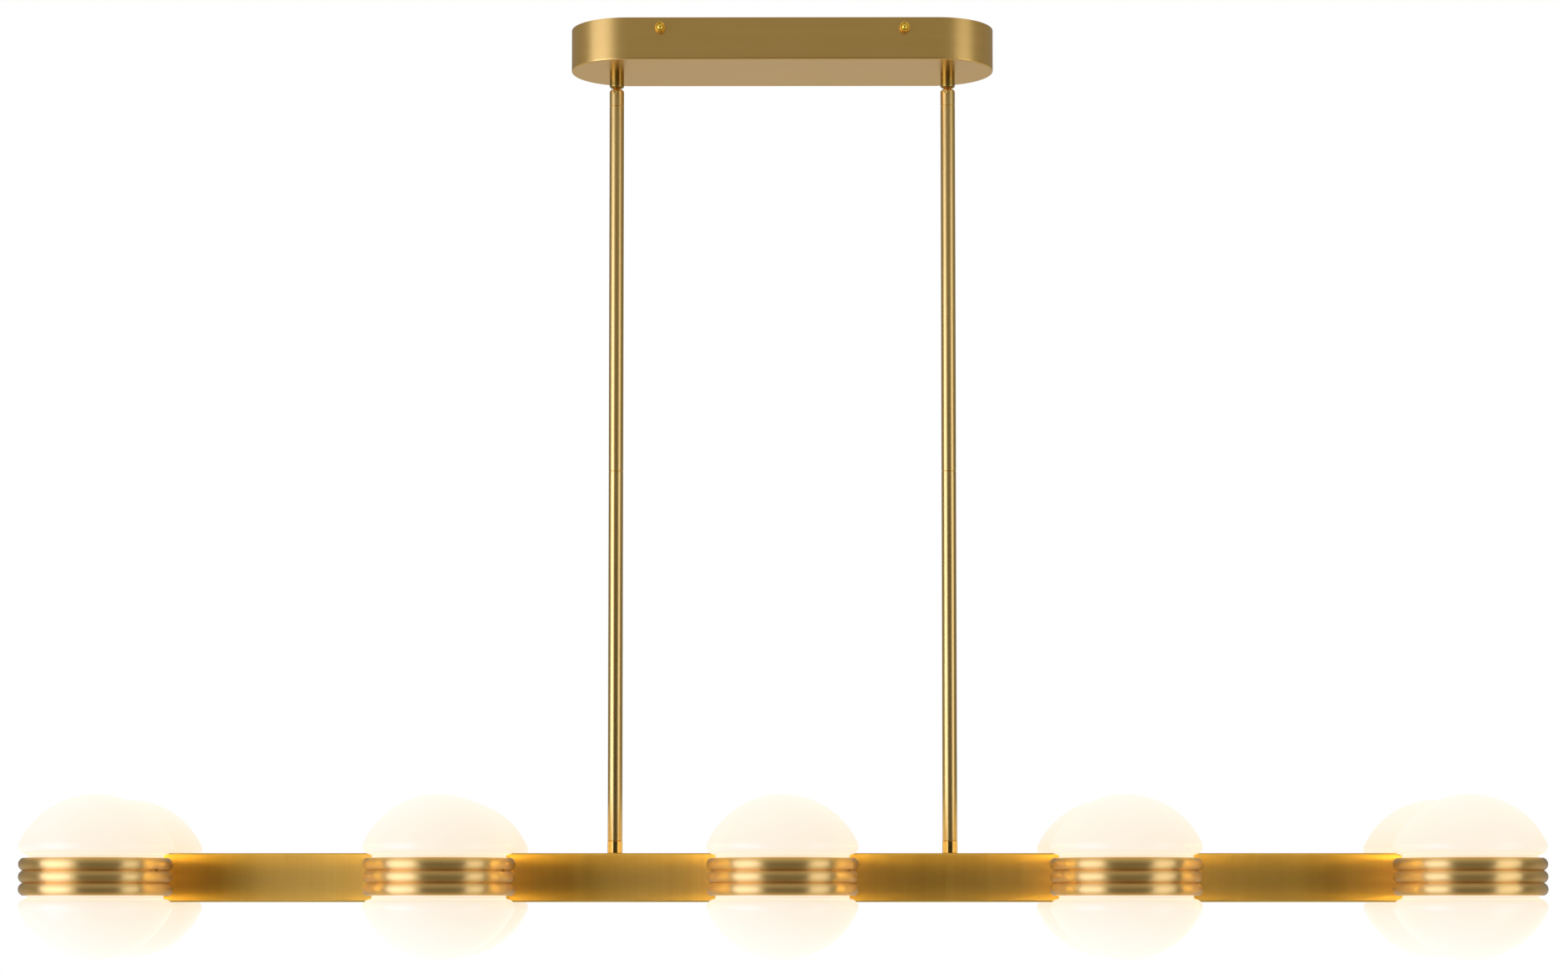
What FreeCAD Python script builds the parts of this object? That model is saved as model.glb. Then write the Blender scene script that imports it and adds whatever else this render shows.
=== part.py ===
import FreeCAD, Part
import math
import os
import re

import Sketcher

# Linear pendant light: an oblong canopy, two stems, one square bar and five pairs of opal globes.
# Millimetres, +Z up. The origin is where the middle of the ceiling bracket meets the ceiling.
# X runs along the bar, and the front, with two of the thumb screws, faces -Y.

STATIONS = 5
RIBS = 3

# Every size that can be set by itself. Radii are of the finished piece.
SIZES = {
    # canopy: an oblong pan that hides the bracket and the driver
    "canopy_length": 350.0,
    "canopy_depth": 95.0,
    "canopy_height": 35.0,
    "canopy_wall": 1.5,
    "canopy_edge_radius": 1.2,
    "canopy_rim_gap": 0.3,
    # bracket screwed to the ceiling box
    "bracket_length": 320.0,
    "bracket_width": 40.0,
    "bracket_thickness": 2.0,
    "bracket_tab_width": 20.0,
    "bracket_tab_drop": 16.0,
    "bracket_tab_gap": 0.5,
    "box_screw_spacing": 88.9,
    "box_slot_length": 14.0,
    "box_slot_width": 4.8,
    # thumb screws that hold the canopy on the bracket's tabs
    "thumb_spacing": 200.0,
    "thumb_drop": 9.0,
    "thumb_head_radius": 4.0,
    "thumb_head_length": 6.0,
    "thumb_crown": 0.8,
    "thumb_shank_radius": 2.0,
    "thumb_shank_length": 8.0,
    "thumb_seat_gap": 0.1,
    "thumb_hole_clearance": 0.3,
    # driver, terminal block and their screws, under the bracket
    "driver_offset": 105.0,
    "driver_length": 80.0,
    "driver_width": 36.0,
    "driver_height": 22.0,
    "driver_edge_radius": 2.0,
    "lug_length": 10.0,
    "lug_width": 20.0,
    "lug_thickness": 2.0,
    "terminal_offset": 85.0,
    "terminal_length": 18.0,
    "terminal_width": 26.0,
    "terminal_height": 13.0,
    "terminal_way_radius": 2.0,
    "terminal_way_pitch": 8.0,
    "pan_head_radius": 3.5,
    "pan_head_height": 2.6,
    "pan_shank_radius": 2.0,
    "pan_tip_gap": 0.2,
    # stems and their ball swivels
    "stem_spacing": 275.0,
    "stem_radius": 6.0,
    "stem_rod_length": 305.0,
    "stem_end_chamfer": 0.35,
    "cup_length": 13.0,
    "cup_bore_radius": 4.95,
    "ball_radius": 4.8,
    "ball_clearance": 0.05,
    "ball_lift": 3.0,
    "swivel_gap": 1.5,
    "swivel_neck_radius": 2.4,
    "swivel_wire_radius": 1.6,
    "swivel_round": 2.0,
    "barrel_length": 14.0,
    "barrel_stud_length": 10.0,
    "swivel_screw_drop": 2.6,
    "hub_bolt_radius": 4.85,
    "hub_bolt_reach": 4.0,
    "hub_bolt_wire_radius": 3.0,
    "hub_head_width": 14.0,
    "hub_head_height": 4.0,
    "ferrule_length": 10.0,
    "ferrule_radius": 6.15,
    # hollow threaded studs and nuts
    "stud_radius": 4.0,
    "stud_wire_radius": 2.6,
    "stud_length": 24.0,
    "stud_reach": 12.0,
    "stud_end": 1.5,
    "arm_stud_setback": 0.2,
    "thread_relief": 0.5,
    "nut_width": 12.0,
    "nut_height": 3.5,
    "thread_clearance": 0.05,
    # bar
    "bar_length": 1140.0,
    "bar_height": 40.0,
    "bar_depth": 20.0,
    "bar_wall": 1.5,
    "bar_corner_radius": 1.5,
    "cap_thickness": 1.5,
    "cap_plug_length": 8.0,
    "cap_plug_clearance": 0.1,
    # globes
    "station_pitch": 275.0,
    "ring_radius": 61.0,
    "ring_height": 30.0,
    "rib_depth": 3.3,
    "ring_bore_radius": 54.3,
    "ledge_radius": 46.0,
    "ledge_thickness": 5.0,
    "ring_bar_gap": 0.3,
    "globe_radius": 66.0,
    "glass_wall": 2.5,
    "glass_neck_radius": 53.6,
    "glass_seat_gap": 0.2,
    "glass_shoulder_radius": 6.5,
    "glass_shoulder_offset": 54.3,
    "glass_throat_radius": 1.5,
    "led_plate_radius": 49.6,
    "led_plate_thickness": 2.0,
    "led_board_radius": 44.0,
    "led_board_thickness": 1.2,
    # small set screws
    "set_screw_radius": 1.5,
    "set_screw_length": 3.2,
    "set_screw_socket_width": 1.5,
    "set_screw_socket_depth": 1.0,
    "glass_screw_gap": 0.1,
    "set_screw_sink": 0.3,
    # wires
    "stem_cable_radius": 1.3,
    "stem_cable_rise": 5.0,
    "stem_cable_gap": 0.2,
    "harness_radius": 1.8,
    "harness_floor_gap": 0.1,
    "branch_radius": 1.1,
    "branch_hole_radius": 2.0,
    "ledge_wire_radius": 1.5,
    "branch_tail": 3.0,
}

# Directions of the small screws, in degrees round the stem or globe; the front is -90.
SWIVEL_SCREW_ANGLES = {"left": -102.0, "right": -113.0}
UPPER_GLASS_SCREW_ANGLES = (-25.0, 155.0)
LOWER_GLASS_SCREW_ANGLES = (25.0, 155.0)

SIDES = {"left": -1, "right": 1}
FACES = {"front": -1, "back": 1}

# Levels, from the ceiling down, and places that several pieces share.
CANOPY_BASE = "(-canopy_height)"
CUP_BASE = f"({CANOPY_BASE} - cup_length)"
BALL_CENTRE = f"({CUP_BASE} + ball_lift)"
BARREL_TOP = f"({CUP_BASE} - swivel_gap)"
BARREL_BASE = f"({BARREL_TOP} - barrel_length)"
ROD_JOINT = f"({BARREL_BASE} - stem_rod_length)"
ROD_BASE = f"({ROD_JOINT} - stem_rod_length)"
BAR_TOP = f"({ROD_BASE} - ferrule_length)"
BAR_MIDDLE = f"({BAR_TOP} - bar_height / 2)"
HARNESS_LEVEL = f"({BAR_TOP} - bar_height + bar_wall + harness_floor_gap + harness_radius)"
GLOBE_OFFSET = "(bar_depth / 2 + ring_bar_gap + ring_radius)"
CANOPY_SIDE = "(canopy_depth / 2)"
TAB_FACE = "(canopy_depth / 2 - canopy_wall - bracket_tab_gap)"
STUD_HOLE = "(stud_radius + thread_clearance)"
PAN_HOLE = "(pan_shank_radius + thread_clearance)"
SET_SCREW_HOLE = "(set_screw_radius + thread_clearance)"
GROOVE_RADIUS = "(ring_radius - rib_depth)"

doc = FreeCAD.newDocument("LinearPendant")
sheet = doc.addObject("Spreadsheet::Sheet", "Sizes")
for row, (alias, value) in enumerate(SIZES.items(), start=1):
    sheet.set(f"A{row}", alias.replace("_", " "))
    sheet.set(f"B{row}", str(value))
    sheet.setAlias(f"B{row}", alias)
doc.recompute()

nodes = []


def linked(text):
    """Write an expression's size names as references to the sheet."""
    return re.sub(r"[a-z_]+", lambda word: f"Sizes.{word[0]}" if word[0] in SIZES else word[0], text)


def amount(text):
    """The present value of an expression."""
    return float(sheet.evalExpression(linked(text)))


def bind(thing, **properties):
    """Bind properties of an object to expressions of the sheet's sizes."""
    for name, text in properties.items():
        thing.setExpression(name, linked(text))
    return thing


def place(thing, x="0", y="0", z="0", axis=(0, 0, 1), angle=0.0):
    """Turn an object about an axis and bind where it stands."""
    thing.Placement = FreeCAD.Placement(FreeCAD.Vector(), FreeCAD.Rotation(FreeCAD.Vector(*axis), angle))
    for letter, text in (("x", x), ("y", y), ("z", z)):
        thing.setExpression(f"Placement.Base.{letter}", linked(text))
    return thing


def keep(thing, label):
    """Make an object a sub-part: its label names its file."""
    thing.Label = label
    nodes.append(thing)
    return thing


def box(length, width, height, x="0", y="0", z="0"):
    """A block centred on X and Y that stands on z."""
    block = bind(doc.addObject("Part::Box", "Block"), Length=length, Width=width, Height=height)
    return place(block, f"({x}) - ({length}) / 2", f"({y}) - ({width}) / 2", z)


def cylinder(radius, height, x="0", y="0", z="0", axis=(0, 0, 1), angle=0.0):
    rod = bind(doc.addObject("Part::Cylinder", "Rod"), Radius=radius, Height=height)
    return place(rod, x, y, z, axis, angle)


def hexagon(width, height, z="0"):
    """A six-sided prism, by its width across flats."""
    prism = doc.addObject("Part::Prism", "Hexagon")
    prism.Polygon = 6
    bind(prism, Circumradius=f"({width}) / sqrt(3)", Height=height)
    return place(prism, z=z)


def fused(*pieces):
    whole = doc.addObject("Part::MultiFuse", "Fused")
    whole.Shapes = list(pieces)
    return whole


def cut(base, *tools):
    """A piece with its holes."""
    result = doc.addObject("Part::Cut", "Drilled")
    result.Base = base
    result.Tool = tools[0] if len(tools) == 1 else group(tools)
    return result


def group(pieces):
    """Separate pieces held as one object, or one more copy of a single piece."""
    together = doc.addObject("Part::Compound", "Group")
    together.Links = list(pieces)
    return together


def copy(piece, x="0", y="0", z="0", axis=(0, 0, 1), angle=0.0):
    return place(group([piece]), x, y, z, axis, angle)


def arc_between(start, end, radius, turn):
    """The shorter arc from start to end: turn is 1 to the left and -1 to the right."""
    chord = end - start
    rise = math.sqrt(max(radius ** 2 - chord.Length ** 2 / 4, 0.0))
    across = FreeCAD.Vector(-chord.y, chord.x, 0).normalize()
    centre = (start + end) / 2 + across * rise * turn
    first, last = (start, end) if turn > 0 else (end, start)
    angles = [math.atan2(point.y - centre.y, point.x - centre.x) for point in (first, last)]
    circle = Part.Circle(centre, FreeCAD.Vector(0, 0, 1), radius)
    return Part.ArcOfCircle(circle, angles[0], angles[1])


def outline(body, plane, corners):
    """A closed sketch on one of the body's planes.

    A corner is (x, y), or (x, y, radius, turn) where an arc leads from it to the next one, or
    (x, y, radius, turn, centre_x) where that arc is a half circle, which its centre settles.
    """
    sketch = body.newObject("Sketcher::SketchObject", "Outline")
    support = [item for item in body.Origin.OriginFeatures if item.Role == plane][0]
    sketch.AttachmentSupport = [(support, "")]
    sketch.MapMode = "FlatFace"
    points = [FreeCAD.Vector(amount(corner[0]), amount(corner[1]), 0) for corner in corners]
    ends = []
    for index, corner in enumerate(corners):
        start = points[index]
        end = points[(index + 1) % len(points)]
        if len(corner) == 2:
            sketch.addGeometry(Part.LineSegment(start, end), False)
            ends.append((1, 2))
        else:
            sketch.addGeometry(arc_between(start, end, amount(corner[2]), corner[3]), False)
            ends.append((1, 2) if corner[3] > 0 else (2, 1))
    for index in range(len(corners)):
        after = (index + 1) % len(corners)
        sketch.addConstraint(Sketcher.Constraint("Coincident", index, ends[index][1], after, ends[after][0]))
    for index, corner in enumerate(corners):
        for kind, axis_line, text in (("DistanceX", -2, corner[0]), ("DistanceY", -1, corner[1])):
            if text == "0":
                sketch.addConstraint(Sketcher.Constraint("PointOnObject", index, ends[index][0], axis_line))
                continue
            number = sketch.addConstraint(
                Sketcher.Constraint(kind, -1, 1, index, ends[index][0], amount(text)))
            sketch.setExpression(f"Constraints[{number}]", linked(text))
        if len(corner) == 4:
            number = sketch.addConstraint(Sketcher.Constraint("Radius", index, amount(corner[2])))
            sketch.setExpression(f"Constraints[{number}]", linked(corner[2]))
        elif len(corner) == 5:
            centre = Sketcher.Constraint("DistanceX", -1, 1, index, 3, amount(corner[4]))
            sketch.setExpression(f"Constraints[{sketch.addConstraint(centre)}]", linked(corner[4]))
    return sketch


def turned(corners):
    """A piece turned about Z from an outline of (radius, height) corners."""
    body = doc.addObject("PartDesign::Body", "Turned")
    sketch = outline(body, "XZ_Plane", corners)
    turning = body.newObject("PartDesign::Revolution", "Turning")
    turning.Profile = sketch
    turning.ReferenceAxis = (sketch, ["V_Axis"])
    turning.Angle = 360.0
    body.Tip = turning
    doc.recompute()
    return body


def tube(outer, inner, length, chamfer=None):
    """A turned tube that stands on its lower end, with its outer edges eased."""
    if chamfer is None:
        return turned([(inner, "0"), (outer, "0"), (outer, length), (inner, length)])
    return turned([(inner, "0"), (f"{outer} - {chamfer}", "0"), (outer, chamfer),
                   (outer, f"{length} - {chamfer}"), (f"{outer} - {chamfer}", length), (inner, length)])


def oblong(body, length, depth, level):
    """An outline with half-round ends, on the body's XY plane, at a level."""
    straight = f"(({length}) - ({depth})) / 2"
    half = f"({depth}) / 2"
    sketch = outline(body, "XY_Plane", [
        (f"-{straight}", f"-{half}"),
        (straight, f"-{half}", half, 1, straight),
        (straight, half),
        (f"-{straight}", half, half, 1, f"-{straight}"),
    ])
    sketch.setExpression("AttachmentOffset.Base.z", linked(level))
    return sketch


def square_section(height, depth, corner, length):
    """A rounded-corner bar along X, centred on the origin."""
    body = doc.addObject("PartDesign::Body", "Section")
    sketch = outline(body, "YZ_Plane", [
        (f"-({depth}) / 2", f"-({height}) / 2"), (f"({depth}) / 2", f"-({height}) / 2"),
        (f"({depth}) / 2", f"({height}) / 2"), (f"-({depth}) / 2", f"({height}) / 2"),
    ])
    pad = body.newObject("PartDesign::Pad", "Length")
    pad.Profile = sketch
    pad.Midplane = True
    pad.setExpression("Length", linked(length))
    doc.recompute()
    long_edges = [f"Edge{number}" for number, edge in enumerate(pad.Shape.Edges, start=1)
                  if abs(edge.tangentAt(edge.FirstParameter).x) > 0.99]
    rounding = body.newObject("PartDesign::Fillet", "Corners")
    rounding.Base = (pad, long_edges)
    rounding.setExpression("Radius", linked(corner))
    body.Tip = rounding
    doc.recompute()
    return body


def stations():
    """Each globe's name and side, and the X and Y of its centre."""
    for station in range(STATIONS):
        steps = station - (STATIONS - 1) / 2
        for face, side in FACES.items():
            yield f"{station + 1}_{face}", side, f"{steps} * station_pitch", f"{side} * {GLOBE_OFFSET}"


# --- Ceiling bracket: a strap with two cross arms whose ends turn down as tabs -------------------

LUG_LEVEL = "(-bracket_thickness - lug_thickness)"
DRIVER_X = "(-driver_offset)"
TERMINAL_X = "terminal_offset"
DRIVER_LUGS = [f"({DRIVER_X} + {end} * (driver_length + lug_length) / 2)" for end in (-1, 1)]
TERMINAL_LUG = f"({TERMINAL_X} - (terminal_length + lug_length) / 2)"
PLATE_DRILL = "(bracket_thickness * 2)"
PLATE_DRILL_LEVEL = "(-bracket_thickness * 1.5)"

bracket_solids = [box("bracket_length", "bracket_width", "bracket_thickness", z="-bracket_thickness")]
bracket_holes = []
for side in SIDES.values():
    arm_x = f"{side} * thumb_spacing / 2"
    bracket_solids.append(box("bracket_tab_width", f"2 * {TAB_FACE}", "bracket_thickness",
                              x=arm_x, z="-bracket_thickness"))
    for face in FACES.values():
        tab_y = f"{face} * ({TAB_FACE} - bracket_thickness / 2)"
        bracket_solids.append(box("bracket_tab_width", "bracket_thickness", "bracket_tab_drop",
                                  arm_x, tab_y, "-bracket_tab_drop"))
    bracket_holes.append(cylinder("thumb_shank_radius + thread_clearance", "canopy_depth",
                                  arm_x, "canopy_depth / 2", "-thumb_drop", (1, 0, 0), 90))
    slot_x = f"{side} * box_screw_spacing / 2"
    slot_run = "(box_slot_length - box_slot_width)"
    bracket_holes.append(box(slot_run, "box_slot_width", PLATE_DRILL, slot_x, "0", PLATE_DRILL_LEVEL))
    for end in (-1, 1):
        bracket_holes.append(cylinder("box_slot_width / 2", PLATE_DRILL,
                                      f"{slot_x} + {end} * {slot_run} / 2", "0", PLATE_DRILL_LEVEL))
for screw_x in (*DRIVER_LUGS, TERMINAL_LUG, "0"):
    bracket_holes.append(cylinder(PAN_HOLE, PLATE_DRILL, screw_x, "0", PLATE_DRILL_LEVEL))
keep(cut(fused(*bracket_solids), *bracket_holes), "ceiling_bracket")

# --- Canopy: an oblong pan, open at the ceiling ---------------------------------------------------

pan = doc.addObject("PartDesign::Body", "CanopyPan")
pan_outline = oblong(pan, "canopy_length", "canopy_depth", "0")
pan_block = pan.newObject("PartDesign::Pad", "Block")
pan_block.Profile = pan_outline
bind(pan_block, Length="canopy_height - canopy_rim_gap")
doc.recompute()
base_edges = [f"Edge{number}" for number, edge in enumerate(pan_block.Shape.Edges, start=1)
              if edge.BoundBox.ZMax < amount("canopy_wall") / 2]
base_edge = pan.newObject("PartDesign::Fillet", "BaseEdge")
base_edge.Base = (pan_block, base_edges)
bind(base_edge, Radius="canopy_edge_radius")
doc.recompute()
hollow_outline = oblong(pan, "canopy_length - 2 * canopy_wall", "canopy_depth - 2 * canopy_wall",
                        "canopy_wall")
hollow = pan.newObject("PartDesign::Pocket", "Hollow")
hollow.Profile = hollow_outline
hollow.Reversed = True
bind(hollow, Length="canopy_height")
pan.Tip = hollow
place(pan, z=CANOPY_BASE)

canopy_holes = []
for side in SIDES.values():
    canopy_holes.append(cylinder("hub_bolt_radius + thread_clearance", "canopy_wall * 2",
                                 f"{side} * stem_spacing / 2", "0", f"{CANOPY_BASE} - canopy_wall / 2"))
    canopy_holes.append(cylinder("thumb_shank_radius + thumb_hole_clearance", "canopy_depth * 2",
                                 f"{side} * thumb_spacing / 2", "canopy_depth", "-thumb_drop", (1, 0, 0), 90))
keep(cut(pan, *canopy_holes), "canopy_shell")

# --- Driver, terminal block and their screws, under the strap ------------------------------------

driver_case = doc.addObject("PartDesign::Body", "DriverCase")
case_outline = outline(driver_case, "XY_Plane", [
    (f"{x} * driver_length / 2", f"{y} * driver_width / 2") for x, y in ((-1, -1), (1, -1), (1, 1), (-1, 1))])
case_block = driver_case.newObject("PartDesign::Pad", "Block")
case_block.Profile = case_outline
bind(case_block, Length="driver_height")
doc.recompute()
case_edges = [f"Edge{number}" for number, edge in enumerate(case_block.Shape.Edges, start=1)
              if edge.BoundBox.ZMin < amount("driver_height") / 2]
case_rounding = driver_case.newObject("PartDesign::Fillet", "Rounding")
case_rounding.Base = (case_block, case_edges)
bind(case_rounding, Radius="driver_edge_radius")
driver_case.Tip = case_rounding
place(driver_case, DRIVER_X, "0", "-bracket_thickness - driver_height")
lug_centre = "((driver_length + lug_length - driver_edge_radius) / 2)"
driver_lugs = [box("lug_length + driver_edge_radius", "lug_width", "lug_thickness",
                   f"{DRIVER_X} + {end} * {lug_centre}", "0", LUG_LEVEL) for end in (-1, 1)]
lug_holes = [cylinder(PAN_HOLE, "lug_thickness * 2", x, "0", f"{LUG_LEVEL} - lug_thickness / 2")
             for x in (*DRIVER_LUGS, TERMINAL_LUG)]
keep(cut(fused(driver_case, *driver_lugs), *lug_holes[:2]), "led_driver")

terminal_base = "(-bracket_thickness - terminal_height)"
terminal_case = box("terminal_length", "terminal_width", "terminal_height", TERMINAL_X, "0", terminal_base)
terminal_lug = box("lug_length", "lug_width", "lug_thickness", TERMINAL_LUG, "0", LUG_LEVEL)
terminal_holes = [lug_holes[2]]
for step in (-1, 0, 1):
    way_y = f"{step} * terminal_way_pitch"
    terminal_holes.append(cylinder("terminal_way_radius", "terminal_length * 2",
                                   f"{TERMINAL_X} - terminal_length", way_y,
                                   f"{terminal_base} + terminal_height / 2", (0, 1, 0), 90))
    terminal_holes.append(cylinder("terminal_way_radius", "terminal_height / 4",
                                   TERMINAL_X, way_y, terminal_base))
keep(cut(fused(terminal_case, terminal_lug), *terminal_holes), "terminal_block")


def pan_screw(grip, x, seat):
    """A round-headed screw whose shank stands up from its seat through the given grip."""
    dome = "((pan_head_radius ^ 2 + pan_head_height ^ 2) / (2 * pan_head_height))"
    shank = f"({grip}) - pan_tip_gap"
    screw = turned([("0", "-pan_head_height", dome, 1), ("pan_head_radius", "0"), ("pan_shank_radius", "0"),
                    ("pan_shank_radius", shank), ("0", shank)])
    return place(screw, x, "0", seat)


bracket_screws = [pan_screw("bracket_thickness + lug_thickness", x, LUG_LEVEL)
                  for x in (*DRIVER_LUGS, TERMINAL_LUG)]
bracket_screws.append(pan_screw("bracket_thickness", "0", "-bracket_thickness"))
keep(group(bracket_screws), "bracket_screws")

# --- Thumb screws: two at the front and two at the back, along Y ---------------------------------

crown_radius = "((thumb_head_radius ^ 2 + thumb_crown ^ 2) / (2 * thumb_crown))"
thumb_screw = turned([("0", "-thumb_shank_length"), ("thumb_shank_radius", "-thumb_shank_length"),
                      ("thumb_shank_radius", "0"), ("thumb_head_radius", "0"),
                      ("thumb_head_radius", "thumb_head_length - thumb_crown", crown_radius, 1),
                      ("0", "thumb_head_length")])
for face_name, face in FACES.items():
    for side_name, side in SIDES.items():
        keep(copy(thumb_screw, f"{side} * thumb_spacing / 2", f"{face} * ({CANOPY_SIDE} + thumb_seat_gap)",
                  "-thumb_drop", (1, 0, 0), -90 * face), f"thumb_screw_{face_name}_{side_name}")

# --- Ball swivels: a cup under the canopy, and a ball on the barrel that carries the stem --------

seat_radius = "(ball_radius + ball_clearance)"
cup = turned([
    (f"sqrt({seat_radius} ^ 2 - ball_lift ^ 2)", "-ball_lift"),
    ("stem_radius - swivel_round", "-ball_lift", "swivel_round", 1),
    ("stem_radius", "-ball_lift + swivel_round"),
    ("stem_radius", "cup_length - ball_lift"),
    ("cup_bore_radius", "cup_length - ball_lift"),
    ("cup_bore_radius", "0"),
    (seat_radius, "0", seat_radius, -1),
])

barrel_top = "(-ball_lift - swivel_gap)"
barrel_base = f"({barrel_top} - barrel_length)"
barrel = turned([
    ("swivel_wire_radius", f"{barrel_base} - barrel_stud_length"),
    ("stud_radius", f"{barrel_base} - barrel_stud_length"),
    ("stud_radius", barrel_base),
    ("stem_radius - stem_end_chamfer", barrel_base),
    ("stem_radius", f"{barrel_base} + stem_end_chamfer"),
    ("stem_radius", f"{barrel_top} - swivel_round", "swivel_round", 1),
    ("stem_radius - swivel_round", barrel_top),
    ("swivel_neck_radius", barrel_top),
    ("swivel_neck_radius", "-sqrt(ball_radius ^ 2 - swivel_neck_radius ^ 2)", "ball_radius", 1),
    ("swivel_wire_radius", "sqrt(ball_radius ^ 2 - swivel_wire_radius ^ 2)"),
])
set_screw_tip = "(stem_radius - set_screw_sink - set_screw_length)"
set_screw_level = f"({barrel_top} - swivel_screw_drop)"
barrel_screw_hole = cylinder(SET_SCREW_HOLE, "stem_radius", "0", f"-{set_screw_tip} + thread_clearance",
                             set_screw_level, (1, 0, 0), 90)
drilled_barrel = cut(barrel, barrel_screw_hole)

hub_bolt_length = "(canopy_wall + hub_bolt_reach)"
hub_shank = cylinder("hub_bolt_radius", hub_bolt_length, z=f"-{hub_bolt_length}")
hub_wire_hole = cylinder("hub_bolt_wire_radius", f"{hub_bolt_length} * 2 + hub_head_height",
                         z=f"-{hub_bolt_length} * 1.5")
hub_bolt = cut(fused(hexagon("hub_head_width", "hub_head_height"), hub_shank), hub_wire_hole)

set_screw_socket = hexagon("set_screw_socket_width", "set_screw_socket_depth * 2",
                           z="set_screw_length - set_screw_socket_depth")
set_screw = cut(cylinder("set_screw_radius", "set_screw_length"), set_screw_socket)


def radial(piece, distance, direction, x, y, z):
    """A copy of a piece whose own Z points outwards at a direction in degrees about (x, y)."""
    across = math.cos(math.radians(direction))
    away = math.sin(math.radians(direction))
    return copy(piece, f"{x} + ({distance}) * {across:.6f}", f"{y} + ({distance}) * {away:.6f}",
                z, (-away, across, 0), 90)


hub_bolts = []
swivel_screws = []
for side_name, side in SIDES.items():
    stem_x = f"{side} * stem_spacing / 2"
    direction = SWIVEL_SCREW_ANGLES[side_name]
    keep(copy(cup, stem_x, "0", BALL_CENTRE), f"swivel_cup_{side_name}")
    keep(copy(drilled_barrel, stem_x, "0", BALL_CENTRE, angle=direction + 90), f"swivel_ball_{side_name}")
    hub_bolts.append(copy(hub_bolt, stem_x, "0", f"{CANOPY_BASE} + canopy_wall"))
    swivel_screws.append(radial(set_screw, set_screw_tip, direction, stem_x, "0",
                                f"{BALL_CENTRE} + {set_screw_level}"))
keep(group(hub_bolts), "hub_bolts")
keep(group(swivel_screws), "swivel_set_screws")

# --- Stems: two equal rods each, joined and held by hollow studs ---------------------------------

rod = tube("stem_radius", STUD_HOLE, "stem_rod_length", "stem_end_chamfer")
ferrule = tube("ferrule_radius", STUD_HOLE, "ferrule_length", "stem_end_chamfer")
bottom_stud_length = "(stud_reach + ferrule_length + bar_wall + nut_height + stud_end)"
joint_stud = tube("stud_radius", "stud_wire_radius", "stud_length")
bottom_stud = tube("stud_radius", "stud_wire_radius", bottom_stud_length)
nut_drill = cylinder(STUD_HOLE, "nut_height * 2", z="-nut_height / 2")
nut = cut(hexagon("nut_width", "nut_height"), nut_drill)

studs = []
ferrules = []
nuts = []
for side_name, side in SIDES.items():
    stem_x = f"{side} * stem_spacing / 2"
    keep(copy(rod, stem_x, "0", ROD_JOINT), f"stem_upper_{side_name}")
    keep(copy(rod, stem_x, "0", ROD_BASE), f"stem_lower_{side_name}")
    studs.append(copy(joint_stud, stem_x, "0", f"{ROD_JOINT} - stud_length / 2"))
    studs.append(copy(bottom_stud, stem_x, "0", f"{ROD_BASE} + stud_reach - {bottom_stud_length}"))
    ferrules.append(copy(ferrule, stem_x, "0", BAR_TOP))
    nuts.append(copy(nut, stem_x, "0", f"{BAR_TOP} - bar_wall - nut_height"))
keep(group(studs), "stem_studs")
keep(group(ferrules), "stem_ferrules")

# --- Bar: a straight square tube with end caps ----------------------------------------------------

bar_outside = square_section("bar_height", "bar_depth", "bar_corner_radius", "bar_length")
place(bar_outside, z=BAR_MIDDLE)
bar_inside = box("bar_length * 1.1", "bar_depth - 2 * bar_wall", "bar_height - 2 * bar_wall",
                 z=f"{BAR_TOP} - bar_height + bar_wall")
bar_holes = [cylinder(STUD_HOLE, "bar_wall * 2", f"{side} * stem_spacing / 2", "0",
                      f"{BAR_TOP} - bar_wall * 1.5") for side in SIDES.values()]
bar_holes += [cylinder(STUD_HOLE, "bar_depth * 2", x, "bar_depth", BAR_MIDDLE, (1, 0, 0), 90)
              for name, side, x, y in stations() if side > 0]
keep(cut(bar_outside, bar_inside, *bar_holes), "bar_tube")

plug_height = "(bar_height - 2 * (bar_wall + cap_plug_clearance))"
end_caps = []
for side in SIDES.values():
    plate = square_section("bar_height", "bar_depth", "bar_corner_radius", "cap_thickness")
    place(plate, f"{side} * (bar_length + cap_thickness) / 2", "0", BAR_MIDDLE)
    plug = box("cap_plug_length", "bar_depth - 2 * (bar_wall + cap_plug_clearance)", plug_height,
               f"{side} * (bar_length - cap_plug_length) / 2", "0", f"{BAR_MIDDLE} - {plug_height} / 2")
    end_caps.append(fused(plate, plug))
keep(group(end_caps), "bar_end_caps")

# --- Wires: one drop down the left stem, and a trunk along the bar with a branch to each globe pair

cable_top = f"({BALL_CENTRE} + stem_cable_rise)"
cable_base = f"({HARNESS_LEVEL} + harness_radius + stem_cable_gap)"
cable = cylinder("stem_cable_radius", f"{cable_top} - {cable_base}", "-stem_spacing / 2", "0", cable_base)
keep(cable, "stem_cable")

trunk_length = f"({STATIONS - 1} * station_pitch + 2 * harness_radius)"
branch_half = "(ring_bar_gap + bar_depth / 2 + ring_radius - ledge_radius + branch_tail)"
trunk = cylinder("harness_radius", trunk_length, f"-{trunk_length} / 2", "0", HARNESS_LEVEL, (0, 1, 0), 90)
harness = [trunk]
for name, side, x, y in stations():
    if side > 0:
        harness.append(cylinder("branch_radius", f"{BAR_MIDDLE} - {HARNESS_LEVEL}", x, "0", HARNESS_LEVEL))
        harness.append(cylinder("branch_radius", f"2 * {branch_half}", x, branch_half, BAR_MIDDLE,
                                (1, 0, 0), 90))
keep(fused(*harness), "bar_harness")

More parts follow.
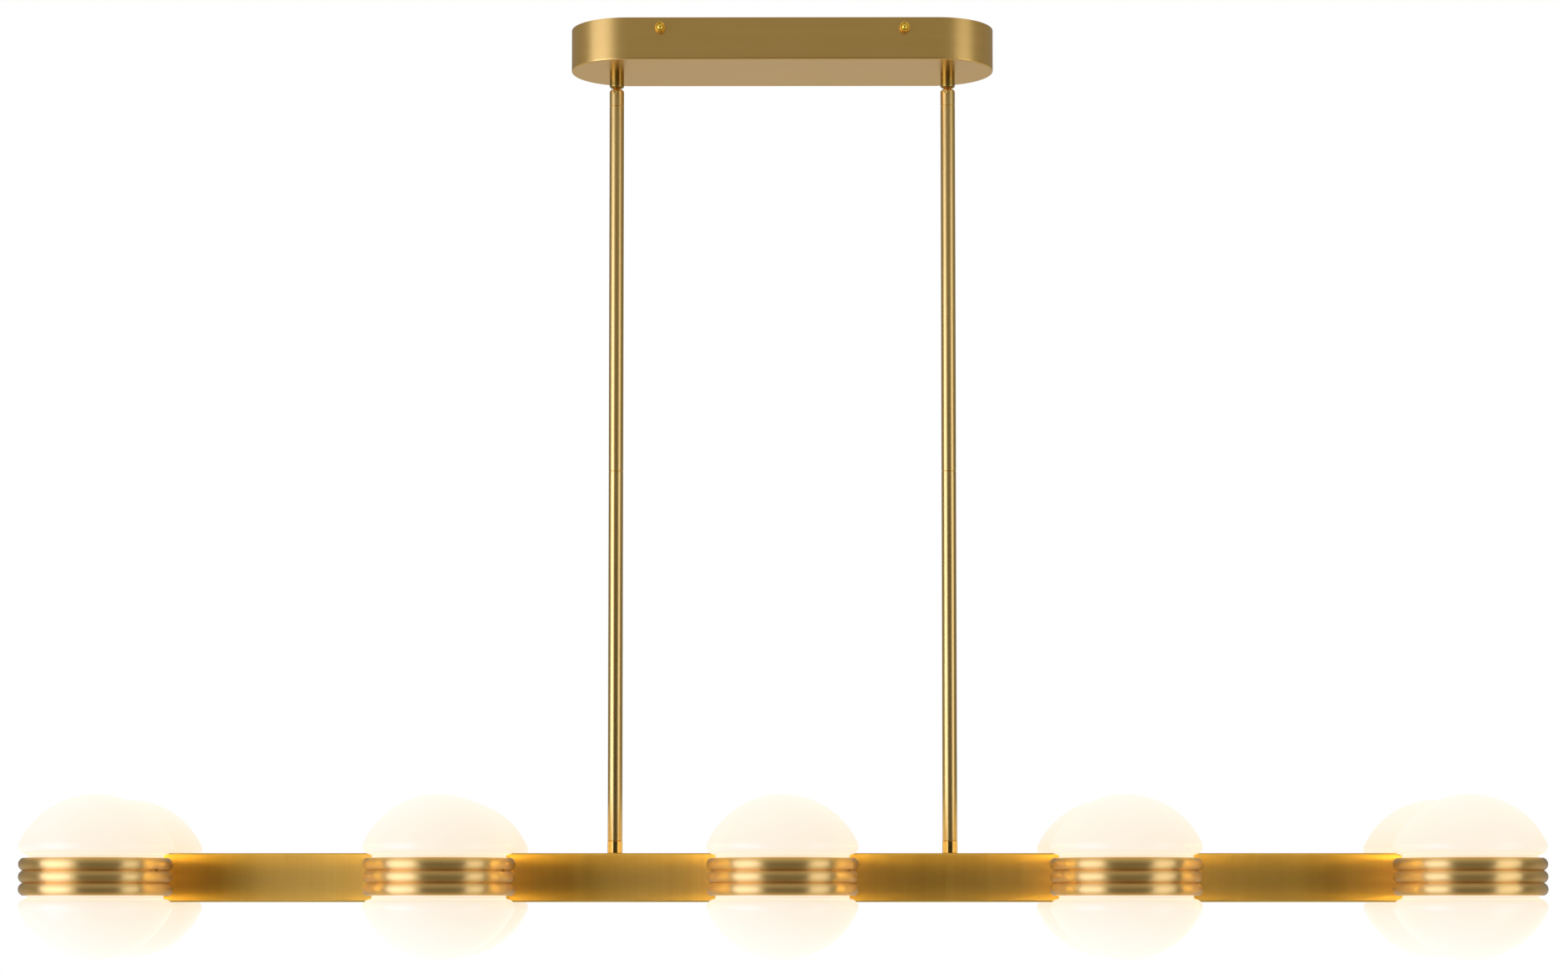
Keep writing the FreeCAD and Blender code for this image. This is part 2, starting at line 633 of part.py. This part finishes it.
# --- Globe arms: one hollow stud through the bar carries the front and the back ring -------------

arm_half = f"({GLOBE_OFFSET} - ring_bore_radius - arm_stud_setback)"
arm_bore = cylinder("stud_wire_radius", f"{arm_half} * 3", y=f"{arm_half} * 1.5", axis=(1, 0, 0), angle=90)
arm_wire_hole = cylinder("branch_hole_radius", "stud_radius * 2", z="-stud_radius * 2")
arm_stud = cut(cylinder("stud_radius", f"{arm_half} * 2", y=arm_half, axis=(1, 0, 0), angle=90),
               arm_bore, arm_wire_hole)
arm_studs = [copy(arm_stud, x, "0", BAR_MIDDLE) for name, side, x, y in stations() if side > 0]
keep(group(arm_studs), "arm_studs")
for name, side, x, y in stations():
    nut_y = f"{side} * (bar_depth / 2 - bar_wall - nut_height)"
    nuts.append(copy(nut, x, nut_y, BAR_MIDDLE, (1, 0, 0), -90 * side))
keep(group(nuts), "stud_nuts")

# --- Globe rings: three half-round ribs outside, and a ledge inside that parts the two glasses ----

rib_pitch = f"(ring_height / {RIBS})"
rib_curve = f"(({rib_pitch} ^ 2 / 4 + rib_depth ^ 2) / (2 * rib_depth))"
rib_corners = [(GROOVE_RADIUS, f"-ring_height / 2 + {rib} * {rib_pitch}", rib_curve, 1)
               for rib in range(RIBS)]
ring_band = turned([("ring_bore_radius", "-ring_height / 2"), *rib_corners,
                    (GROOVE_RADIUS, "ring_height / 2"), ("ring_bore_radius", "ring_height / 2"),
                    ("ring_bore_radius", "ledge_thickness / 2"), ("ledge_radius", "ledge_thickness / 2"),
                    ("ledge_radius", "-ledge_thickness / 2"), ("ring_bore_radius", "-ledge_thickness / 2")])
groove_level = f"({rib_pitch} / 2)"
radial_drill = cylinder(SET_SCREW_HOLE, "ring_radius")
arm_hole = cylinder(STUD_HOLE, "ring_radius", "0", "ring_bore_radius - thread_relief", "0", (1, 0, 0), -90)
ledge_hole = cylinder("ledge_wire_radius", "ring_radius", "0", "ledge_radius / 2", "0", (1, 0, 0), -90)
screw_holes = []
for level, directions in ((1, UPPER_GLASS_SCREW_ANGLES), (-1, LOWER_GLASS_SCREW_ANGLES)):
    for direction in directions:
        screw_holes.append(radial(radial_drill, "glass_neck_radius", direction, "0", "0",
                                  f"{level} * {groove_level}"))
ring = cut(ring_band, arm_hole, ledge_hole, *screw_holes)

# --- Globe glass: a ball of opal glass in two halves, each with a rolled neck that enters the ring

shoulder_level = "(sqrt((globe_radius - glass_shoulder_radius) ^ 2 - glass_shoulder_offset ^ 2))"
throat_x = "(glass_neck_radius + glass_throat_radius)"
throat_level = (f"({shoulder_level} - sqrt((glass_shoulder_radius + glass_throat_radius) ^ 2"
                f" - ({throat_x} - glass_shoulder_offset) ^ 2))")
neck_end = "ledge_thickness / 2 + glass_seat_gap"


def shoulder_point(radius):
    """Where the shoulder's curve passes into the throat's, for the outer or the inner skin."""
    share = f"(({radius}) / (glass_shoulder_radius + glass_throat_radius))"
    return (f"glass_shoulder_offset + {share} * ({throat_x} - glass_shoulder_offset)",
            f"{shoulder_level} - {share} * ({shoulder_level} - {throat_level})")


def ball_point(radius):
    """Where the ball's curve passes into the shoulder's, for the outer or the inner skin."""
    share = f"(({radius}) / (globe_radius - glass_shoulder_radius))"
    return f"glass_shoulder_offset * {share}", f"{shoulder_level} * {share}"


glass = turned([
    ("glass_neck_radius", neck_end),
    ("glass_neck_radius", throat_level, "glass_throat_radius", -1),
    (*shoulder_point("glass_shoulder_radius"), "glass_shoulder_radius", 1),
    (*ball_point("globe_radius"), "globe_radius", 1),
    ("0", "globe_radius"),
    ("0", "globe_radius - glass_wall", "globe_radius - glass_wall", -1),
    (*ball_point("globe_radius - glass_wall"), "glass_shoulder_radius - glass_wall", -1),
    (*shoulder_point("glass_shoulder_radius - glass_wall"), "glass_throat_radius + glass_wall", 1),
    ("glass_neck_radius - glass_wall", throat_level),
    ("glass_neck_radius - glass_wall", neck_end),
])

plate_top = "(ledge_thickness / 2 + led_plate_thickness)"
led_plate = cylinder("led_plate_radius", "led_plate_thickness", z="ledge_thickness / 2")
led_board = cylinder("led_board_radius", "led_board_thickness", z=plate_top)
glass_screw_tip = "(glass_neck_radius + glass_screw_gap)"
glass_screw_length = f"({GROOVE_RADIUS} - set_screw_sink - {glass_screw_tip})"
glass_screw_socket = hexagon("set_screw_socket_width", "set_screw_socket_depth * 2",
                             z=f"{glass_screw_length} - set_screw_socket_depth")
glass_screw = cut(cylinder("set_screw_radius", glass_screw_length), glass_screw_socket)

led_plates = []
led_boards = []
glass_screws = []
for name, side, x, y in stations():
    facing = 0 if side < 0 else 180
    keep(copy(ring, x, y, BAR_MIDDLE, angle=facing), f"globe_ring_{name}")
    keep(copy(glass, x, y, BAR_MIDDLE), f"upper_glass_{name}")
    keep(copy(glass, x, y, BAR_MIDDLE, (1, 0, 0), 180), f"lower_glass_{name}")
    for turn in (0, 180):
        led_plates.append(copy(led_plate, x, y, BAR_MIDDLE, (1, 0, 0), turn))
        led_boards.append(copy(led_board, x, y, BAR_MIDDLE, (1, 0, 0), turn))
    for level, directions in ((1, UPPER_GLASS_SCREW_ANGLES), (-1, LOWER_GLASS_SCREW_ANGLES)):
        for direction in directions:
            glass_screws.append(radial(glass_screw, glass_screw_tip, direction + facing, x, y,
                                       f"{BAR_MIDDLE} + {level} * {groove_level}"))
keep(group(led_plates), "led_plates")
keep(group(led_boards), "led_boards")
keep(group(glass_screws), "glass_set_screws")

# --- Check and write every sub-part ---------------------------------------------------------------

doc.recompute()
for thing in doc.Objects:
    if {"Invalid", "Error"} & set(thing.State):
        raise RuntimeError(f"{thing.Name} ({thing.Label}) did not compute: {thing.State}")
for thing in nodes:
    if thing.Shape.isNull() or not thing.Shape.isValid() or not thing.Shape.Solids:
        raise RuntimeError(f"{thing.Label} has no valid solid")

os.makedirs("parts", exist_ok=True)
for thing in nodes:
    thing.Shape.exportStep(f"parts/{thing.Label}.step")
    solids = thing.Shape.Solids
    volume = sum(solid.Volume for solid in solids) / 1000
    print(f"{thing.Label:28s} {len(solids):3d} solids {volume:9.2f} cm3")
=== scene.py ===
import math

import bmesh
import bpy
from mathutils import Matrix, Vector


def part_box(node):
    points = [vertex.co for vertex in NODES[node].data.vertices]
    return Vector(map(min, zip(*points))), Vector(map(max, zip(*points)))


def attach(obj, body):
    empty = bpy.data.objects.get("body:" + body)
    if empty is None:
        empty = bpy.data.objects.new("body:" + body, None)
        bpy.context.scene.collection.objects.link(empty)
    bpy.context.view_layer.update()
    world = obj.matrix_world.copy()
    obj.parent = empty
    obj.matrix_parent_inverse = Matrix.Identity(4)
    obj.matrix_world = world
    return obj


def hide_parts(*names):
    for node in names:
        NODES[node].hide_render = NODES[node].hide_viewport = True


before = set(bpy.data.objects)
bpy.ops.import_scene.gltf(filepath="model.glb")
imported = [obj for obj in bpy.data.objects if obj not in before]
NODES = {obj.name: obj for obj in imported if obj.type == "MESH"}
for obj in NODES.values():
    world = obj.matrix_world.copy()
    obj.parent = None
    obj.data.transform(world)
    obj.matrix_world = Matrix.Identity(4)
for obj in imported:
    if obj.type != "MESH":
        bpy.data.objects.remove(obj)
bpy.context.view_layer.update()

# --- Places, in metres ---------------------------------------------------------------------------

BAR_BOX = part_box("bar_tube")
BAR_MIDDLE = (BAR_BOX[0].z + BAR_BOX[1].z) / 2


def middle(node):
    low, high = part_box(node)
    return (low + high) / 2


# --- Materials: node helpers ---------------------------------------------------------------------

def start(name):
    """A new material with an empty node tree."""
    material = bpy.data.materials.new(name)
    material.use_nodes = True
    material.node_tree.nodes.clear()
    return material, material.node_tree


def add(tree, kind, inputs=None, **settings):
    """A node, its settings, and its inputs as values or as links from other sockets."""
    made = tree.nodes.new("ShaderNode" + kind)
    for name, value in settings.items():
        setattr(made, name, value)
    for name, value in (inputs or {}).items():
        if isinstance(value, bpy.types.NodeSocket):
            tree.links.new(value, made.inputs[name])
        else:
            made.inputs[name].default_value = value
    return made


def coordinates(tree, scale=(1, 1, 1)):
    """The piece's own coordinates, in metres at rest, stretched by a scale."""
    place = add(tree, "TexCoord")
    return add(tree, "Mapping", {0: place.outputs["Object"], 3: scale}).outputs[0]


def noise(tree, vector, scale, detail=2.0, rough=0.5):
    return add(tree, "TexNoise", {"Vector": vector, "Scale": scale, "Detail": detail,
                                  "Roughness": rough}).outputs["Fac"]


def spread(tree, value, low, high, to_low=0.0, to_high=1.0):
    """A value taken from one range to another."""
    return add(tree, "MapRange", {0: value, 1: low, 2: high, 3: to_low, 4: to_high}).outputs[0]


def blend(tree, share, first, second):
    """Two colours mixed by a share."""
    return add(tree, "Mix", {0: share, 6: first, 7: second}, data_type="RGBA").outputs[2]


def maths(tree, operation, first, second=0.0):
    return add(tree, "Math", {0: first, 1: second}, operation=operation).outputs[0]


def finish_surface(tree, inputs, height=None, relief=0.0, strength=0.0):
    """A principled surface, with a bump from a height if one is given."""
    if height is not None:
        bump = add(tree, "Bump", {"Height": height, "Distance": relief, "Strength": strength})
        inputs["Normal"] = bump.outputs[0]
    surface = add(tree, "BsdfPrincipled", inputs)
    add(tree, "OutputMaterial", {"Surface": surface.outputs[0]})


def brass(name, light, deep, rough, grain, relief=0.00004, fleck=0.0, sweep=None, drawn=0.0):
    """Satin brass: grain stretched along the direction it was brushed, cloudy tone and fine flecks.

    grain is the stretch of the brushing: a small number along it and large ones across it. A finish
    that is drawn out, 0 to 1, smears what it reflects along the sweep axis.
    """
    material, tree = start(name)
    brushed = noise(tree, coordinates(tree, grain), 1.0, 3.0, 0.6)
    clouds = noise(tree, coordinates(tree), 14.0, 2.0)
    flecks = noise(tree, coordinates(tree), 900.0, 1.0)
    tone = maths(tree, "ADD", spread(tree, clouds, 0.3, 0.7, 0.0, 0.5),
                 spread(tree, brushed, 0.3, 0.7, 0.0, 0.5))
    colour = blend(tree, tone, (*deep, 1), (*light, 1))
    gloss = maths(tree, "ADD", spread(tree, brushed, 0.25, 0.75, rough - 0.035, rough + 0.035),
                  spread(tree, flecks, 0.3, 0.8, -0.02 * fleck, 0.08 * fleck))
    inputs = {"Base Color": colour, "Metallic": 1.0, "Roughness": gloss}
    if sweep:
        around = add(tree, "Tangent", direction_type="RADIAL", axis=sweep)
        inputs.update({"Anisotropic": drawn, "Anisotropic Rotation": 0.25, "Tangent": around.outputs[0]})
    finish_surface(tree, inputs, brushed if relief else None, relief, 0.35)
    return material


def opal(name, warm_from, warm_to):
    """Lit opal glass: milky white with a satin skin, warmer towards the ring that it stands in.

    It is warmest at warm_from above or below the ring's middle, and whitest from warm_to on.
    """
    material, tree = start(name)
    place = add(tree, "TexCoord").outputs["Object"]
    height = add(tree, "SeparateXYZ", {0: place}).outputs["Z"]
    rise = maths(tree, "ABSOLUTE", maths(tree, "SUBTRACT", height, BAR_MIDDLE))
    streak = noise(tree, coordinates(tree, (20, 20, 9)), 1.0, 2.0)
    whiteness = maths(tree, "ADD", spread(tree, rise, warm_from, warm_to),
                      spread(tree, streak, 0.3, 0.7, -0.06, 0.06))
    skin = noise(tree, coordinates(tree), 70.0, 1.0)
    finish_surface(tree, {
        "Base Color": blend(tree, whiteness, (0.21, 0.20, 0.18, 1), (0.23, 0.22, 0.21, 1)),
        "Roughness": spread(tree, skin, 0.3, 0.7, 0.29, 0.34),
        "IOR": 1.45,
        "Emission Color": blend(tree, whiteness, (0.99, 0.84, 0.62, 1), (1.05, 0.96, 0.80, 1)),
        "Emission Strength": 0.82,
    })
    return material


def plain(name, light, deep, rough, scale, metallic=0.0):
    """A plain finish: two close tones mottled at a scale, over a fine grain."""
    material, tree = start(name)
    mottle = noise(tree, coordinates(tree), scale, 3.0)
    fine = noise(tree, coordinates(tree), scale * 7, 2.0)
    finish_surface(tree, {
        "Base Color": blend(tree, spread(tree, mottle, 0.3, 0.7), (*deep, 1), (*light, 1)),
        "Metallic": metallic,
        "Roughness": spread(tree, fine, 0.3, 0.7, rough - 0.05, rough + 0.05),
    }, fine, 0.00003, 0.4)
    return material


# --- Materials -----------------------------------------------------------------------------------

CANOPY_BRASS = brass("canopy_brass", (0.90, 0.565, 0.165), (0.84, 0.515, 0.135), 0.31, (8, 8, 1400),
                     fleck=0.25)
STEM_BRASS = brass("stem_brass", (0.81, 0.535, 0.165), (0.76, 0.49, 0.14), 0.29, (150, 150, 3), 0)
# The swivel cups get a much darker copy of the brass: painted shade standing in for the dim light under
# the canopy.
SHADED_CUP_BRASS = brass("cup_brass_painted_shade", (0.44, 0.285, 0.06), (0.38, 0.24, 0.045), 0.27, (120, 120, 30), 0)
BAR_BRASS = brass("bar_brass", (0.90, 0.56, 0.105), (0.85, 0.51, 0.085), 0.345, (260, 260, 9), 0,
                  fleck=0.25, sweep="X", drawn=0.94)
RING_BRASS = brass("ring_brass", (0.90, 0.59, 0.20), (0.84, 0.53, 0.16), 0.41, (60, 60, 1800), 0,
                   fleck=0.25, sweep="Z", drawn=0.95)
POLISHED_BRASS = brass("polished_brass_grain", (0.96, 0.62, 0.16), (0.92, 0.55, 0.12), 0.16,
                       (900, 900, 60), fleck=0.1)
KNOB_GOLD = brass("knob_gold", (1.0, 0.66, 0.09), (0.95, 0.58, 0.06), 0.34, (900, 900, 60), fleck=0.1)
OPAL = opal("opal_glass_lit", 0.014, 0.062)
ZINC = plain("zinc_plate", (0.62, 0.63, 0.64), (0.50, 0.51, 0.53), 0.36, 60.0, 1.0)
STEEL = plain("screw_steel", (0.66, 0.65, 0.62), (0.52, 0.51, 0.50), 0.30, 300.0, 1.0)
CASE = plain("driver_plastic", (0.83, 0.83, 0.81), (0.78, 0.78, 0.76), 0.48, 150.0)
TERMINAL = plain("terminal_nylon", (0.78, 0.77, 0.72), (0.71, 0.70, 0.65), 0.42, 200.0)
ALUMINIUM = plain("led_plate_metal", (0.86, 0.86, 0.87), (0.78, 0.78, 0.80), 0.34, 90.0, 1.0)
BOARD = plain("led_board_mask", (0.90, 0.90, 0.88), (0.84, 0.84, 0.82), 0.35, 400.0)
WIRE = plain("wire_sleeve", (0.75, 0.74, 0.70), (0.66, 0.65, 0.61), 0.40, 500.0)
FLOOR_PAINT = plain("floor_paint", (0.90, 0.89, 0.87), (0.88, 0.87, 0.85), 0.8, 3.0)

# Finishes of the CAD nodes, by what their names start with.
FINISHES = {
    "canopy_shell": CANOPY_BRASS, "bar_tube": BAR_BRASS, "bar_end_caps": BAR_BRASS,
    "globe_ring": RING_BRASS, "upper_glass": OPAL, "lower_glass": OPAL,
    "stem_upper": STEM_BRASS, "stem_lower": STEM_BRASS, "swivel_ball": STEM_BRASS,
    "swivel_cup": SHADED_CUP_BRASS, "stem_ferrules": POLISHED_BRASS, "swivel_set_screws": POLISHED_BRASS,
    "glass_set_screws": POLISHED_BRASS, "ceiling_bracket": ZINC, "bracket_screws": STEEL,
    "hub_bolts": ZINC, "stem_studs": ZINC, "arm_studs": ZINC, "stud_nuts": ZINC,
    "led_driver": CASE, "terminal_block": TERMINAL, "led_plates": ALUMINIUM, "led_boards": BOARD,
    "stem_cable": WIRE, "bar_harness": WIRE,
}
for name, node in NODES.items():
    for prefix, material in FINISHES.items():
        if name.startswith(prefix):
            node.data.materials.clear()
            node.data.materials.append(material)


# --- Thumb screws, with a rim and a raised middle on their heads ---------------------------------

def turned(name, profile, steps):
    """A closed piece turned about Z from (radius, height) points, the first and last on the axis."""
    form = bmesh.new()
    rings = []
    for radius, height in profile:
        if radius == 0:
            rings.append([form.verts.new((0, 0, height))])
            continue
        ring = []
        for step in range(steps):
            angle = 2 * math.pi * step / steps
            ring.append(form.verts.new((radius * math.cos(angle), radius * math.sin(angle), height)))
        rings.append(ring)
    for lower, upper in zip(rings, rings[1:]):
        for step in range(steps):
            after = (step + 1) % steps
            corners = [lower[step % len(lower)], lower[after % len(lower)],
                       upper[after % len(upper)], upper[step % len(upper)]]
            form.faces.new(list(dict.fromkeys(corners)))
    bmesh.ops.recalc_face_normals(form, faces=form.faces)
    mesh = bpy.data.meshes.new(name)
    form.to_mesh(mesh)
    form.free()
    mesh.shade_smooth()
    mesh.set_sharp_from_angle(angle=math.radians(35))
    return mesh


HEAD_LENGTH = 0.006
thumb = turned("thumb", [
    (0, -0.008), (0.0017, -0.008), (0.002, -0.0076), (0.002, 0), (0.0036, 0), (0.0039, 0.0003),
    (0.004, 0.0008), (0.004, 0.0040), (0.0039, 0.0045), (0.0036, 0.0049), (0.0032, 0.0050),
    (0.0029, 0.0048), (0.0027, 0.0045), (0.0025, 0.0046), (0.0021, 0.0052), (0.0014, 0.0057),
    (0.0007, 0.00596), (0, HEAD_LENGTH)], 64)
for face, away in (("front", -1), ("back", 1)):
    for side in ("left", "right"):
        name = f"thumb_screw_{face}_{side}"
        low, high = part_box(name)
        tip = low.y if away < 0 else high.y
        seat = Vector(((low.x + high.x) / 2, tip - away * HEAD_LENGTH, (low.z + high.z) / 2))
        mesh = thumb.copy()
        mesh.name = f"thumb_knob_{face}_{side}"
        mesh.transform(Matrix.Translation(seat) @ Matrix.Rotation(math.radians(-90 * away), 4, "X"))
        mesh.materials.append(KNOB_GOLD)
        knob = bpy.data.objects.new(mesh.name, mesh)
        bpy.context.scene.collection.objects.link(knob)
        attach(knob, name)
        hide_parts(name)


# --- Studio panels and the light in the globes ---------------------------------------------------

def lamp(name, kind, place, power, colour, **settings):
    """A light that the camera doesn't see."""
    data = bpy.data.lights.new(name, kind)
    data.energy = power
    data.color = colour
    for key, value in settings.items():
        setattr(data, key, value)
    made = bpy.data.objects.new(name, data)
    made.location = place
    made.visible_camera = False
    bpy.context.scene.collection.objects.link(made)
    return made


def softbox(name, place, width, height, glow, colour):
    """A soft upright panel of a given brightness that faces the light's vertical axis."""
    made = lamp(name, "AREA", place, glow * math.pi * width * height, colour,
                shape="RECTANGLE", size=width, size_y=height)
    made.rotation_mode = "QUATERNION"
    made.rotation_quaternion = (Vector((0, 0, place[2])) - Vector(place)).to_track_quat("-Z", "Y")


softbox("key_left", (-2.35, -1.42, -1.24), 2.1, 3.3, 2.15, (0.97, 1.09, 1.8))
softbox("key_left_top", (-2.35, -1.42, 1.3), 2.1, 1.6, 0.35, (0.97, 1.09, 1.65))
softbox("key_left_edge", (-1.54, -2.28, -1.2), 0.40, 3.4, 1.0, (0.97, 1.09, 1.4))
softbox("key_right", (1.75, -1.13, -1.23), 1.2, 3.14, 1.3, (0.97, 1.07, 1.5))
softbox("key_right_top", (1.75, -1.13, 1.2), 1.2, 1.6, 0.12, (0.97, 1.07, 1.5))


def all_but(name, *starts):
    """A light-linking collection of everything but the nodes whose names start so."""
    collection = bpy.data.collections.new(name)
    for node_name, node in NODES.items():
        if node_name.startswith(starts):
            collection.objects.link(node)
    for member in collection.collection_objects:
        member.light_linking.link_state = "EXCLUDE"
    return collection


# The bulbs' light goes through the glass, and it falls on what is near the globes. The canopy, the
# swivels and the stems get theirs from the glass alone.
through_glass = all_but("all_but_glass", "upper_glass", "lower_glass")
near_globes = all_but("lamp_lit", "canopy_shell", "swivel_", "stem_upper", "stem_lower", "stem_ferrules")
BULB_RISE = 0.013
BULB_RADIUS = 0.0565
BULB_POWER = 0.35
BULB_COLOUR = (1.0, 0.68, 0.12)
for station in range(1, 6):
    for face in ("front", "back"):
        globe = f"{station}_{face}"
        centre = middle(f"globe_ring_{globe}")
        bulb = lamp(f"bulb_{globe}", "POINT", (centre.x, centre.y, BAR_MIDDLE + BULB_RISE),
                    BULB_POWER, BULB_COLOUR, shadow_soft_size=BULB_RADIUS)
        bulb.data.cycles.use_multiple_importance_sampling = False
        bulb.light_linking.blocker_collection = through_glass
        bulb.light_linking.receiver_collection = near_globes
        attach(bulb, "light_bar")

# --- Studio around the light: white to the camera, grey in what the brass reflects ---------------

world = bpy.data.worlds.new("studio")
bpy.context.scene.world = world
world.use_nodes = True
tree = world.node_tree
tree.nodes.clear()
direction = add(tree, "SeparateXYZ", {0: add(tree, "TexCoord").outputs["Generated"]})


def sky(levels):
    """Greys of the studio by the sine of the height above the horizon."""
    ramp = add(tree, "ValToRGB", {0: spread(tree, direction.outputs["Z"], -1.0, 1.0)})
    stops = ramp.color_ramp.elements
    stops.remove(stops[1])
    for number, (height, level) in enumerate(levels):
        stop = stops[0] if number == 0 else stops.new((height + 1) / 2)
        stop.position = (height + 1) / 2
        stop.color = (level, level, level, 1)
    return ramp.outputs[0]


front_sky = sky([(-1, 0.30), (-0.3, 0.13), (-0.13, 0.038), (0.10, 0.032), (0.25, 0.37), (0.5, 0.46),
                 (1, 0.60)])
back_sky = sky([(-1, 0.50), (-0.12, 0.52), (0.0, 0.26), (0.2, 0.24), (0.45, 0.42), (1, 0.60)])
behind = spread(tree, direction.outputs["Y"], -0.2, 0.3)
studio = add(tree, "Background", {0: blend(tree, behind, front_sky, back_sky), 1: 1.0})
backdrop = add(tree, "Background", {0: (1, 1, 1, 1), 1: 1.0})
seen = add(tree, "LightPath").outputs["Is Camera Ray"]
mixed = add(tree, "MixShader", {0: seen, 1: studio.outputs[0], 2: backdrop.outputs[0]})
add(tree, "OutputWorld", {0: mixed.outputs[0]})

# --- Floor ---------------------------------------------------------------------------------------

FLOOR_LEVEL = -3.0
FLOOR_REACH = 14.0
floor_form = bmesh.new()
bmesh.ops.create_circle(floor_form, cap_ends=True, segments=96, radius=FLOOR_REACH)
floor_mesh = bpy.data.meshes.new("floor")
floor_form.to_mesh(floor_mesh)
floor_form.free()
floor = bpy.data.objects.new("floor", floor_mesh)
floor.location.z = FLOOR_LEVEL
floor.data.materials.append(FLOOR_PAINT)
bpy.context.scene.collection.objects.link(floor)
floor.visible_glossy = False

# --- Camera: focal length and principal point in the photo's pixels, place in metres -------------

PHOTO = (1877, 1167)
FOCAL = 4180.0
PRINCIPAL = (917.5, 844.7)
EYE = (-0.0021, -2.869, -0.7296)
PITCH, YAW = math.radians(3.34), math.radians(-0.22)
SENSOR = 36.0

camera_data = bpy.data.cameras.new("camera")
camera_data.sensor_fit = "HORIZONTAL"
camera_data.sensor_width = SENSOR
camera_data.lens = FOCAL / PHOTO[0] * SENSOR
camera_data.shift_x = (PHOTO[0] / 2 - PRINCIPAL[0]) / PHOTO[0]
camera_data.shift_y = (PRINCIPAL[1] - PHOTO[1] / 2) / PHOTO[0]
camera_data.clip_start, camera_data.clip_end = 0.05, 100.0
camera = bpy.data.objects.new("camera", camera_data)
camera.location = EYE
look = Vector((math.sin(YAW) * math.cos(PITCH), math.cos(YAW) * math.cos(PITCH), math.sin(PITCH)))
camera.rotation_mode = "QUATERNION"
camera.rotation_quaternion = look.to_track_quat("-Z", "Y")
bpy.context.scene.collection.objects.link(camera)
bpy.context.scene.camera = camera
bpy.context.scene.view_settings.view_transform = "Standard"
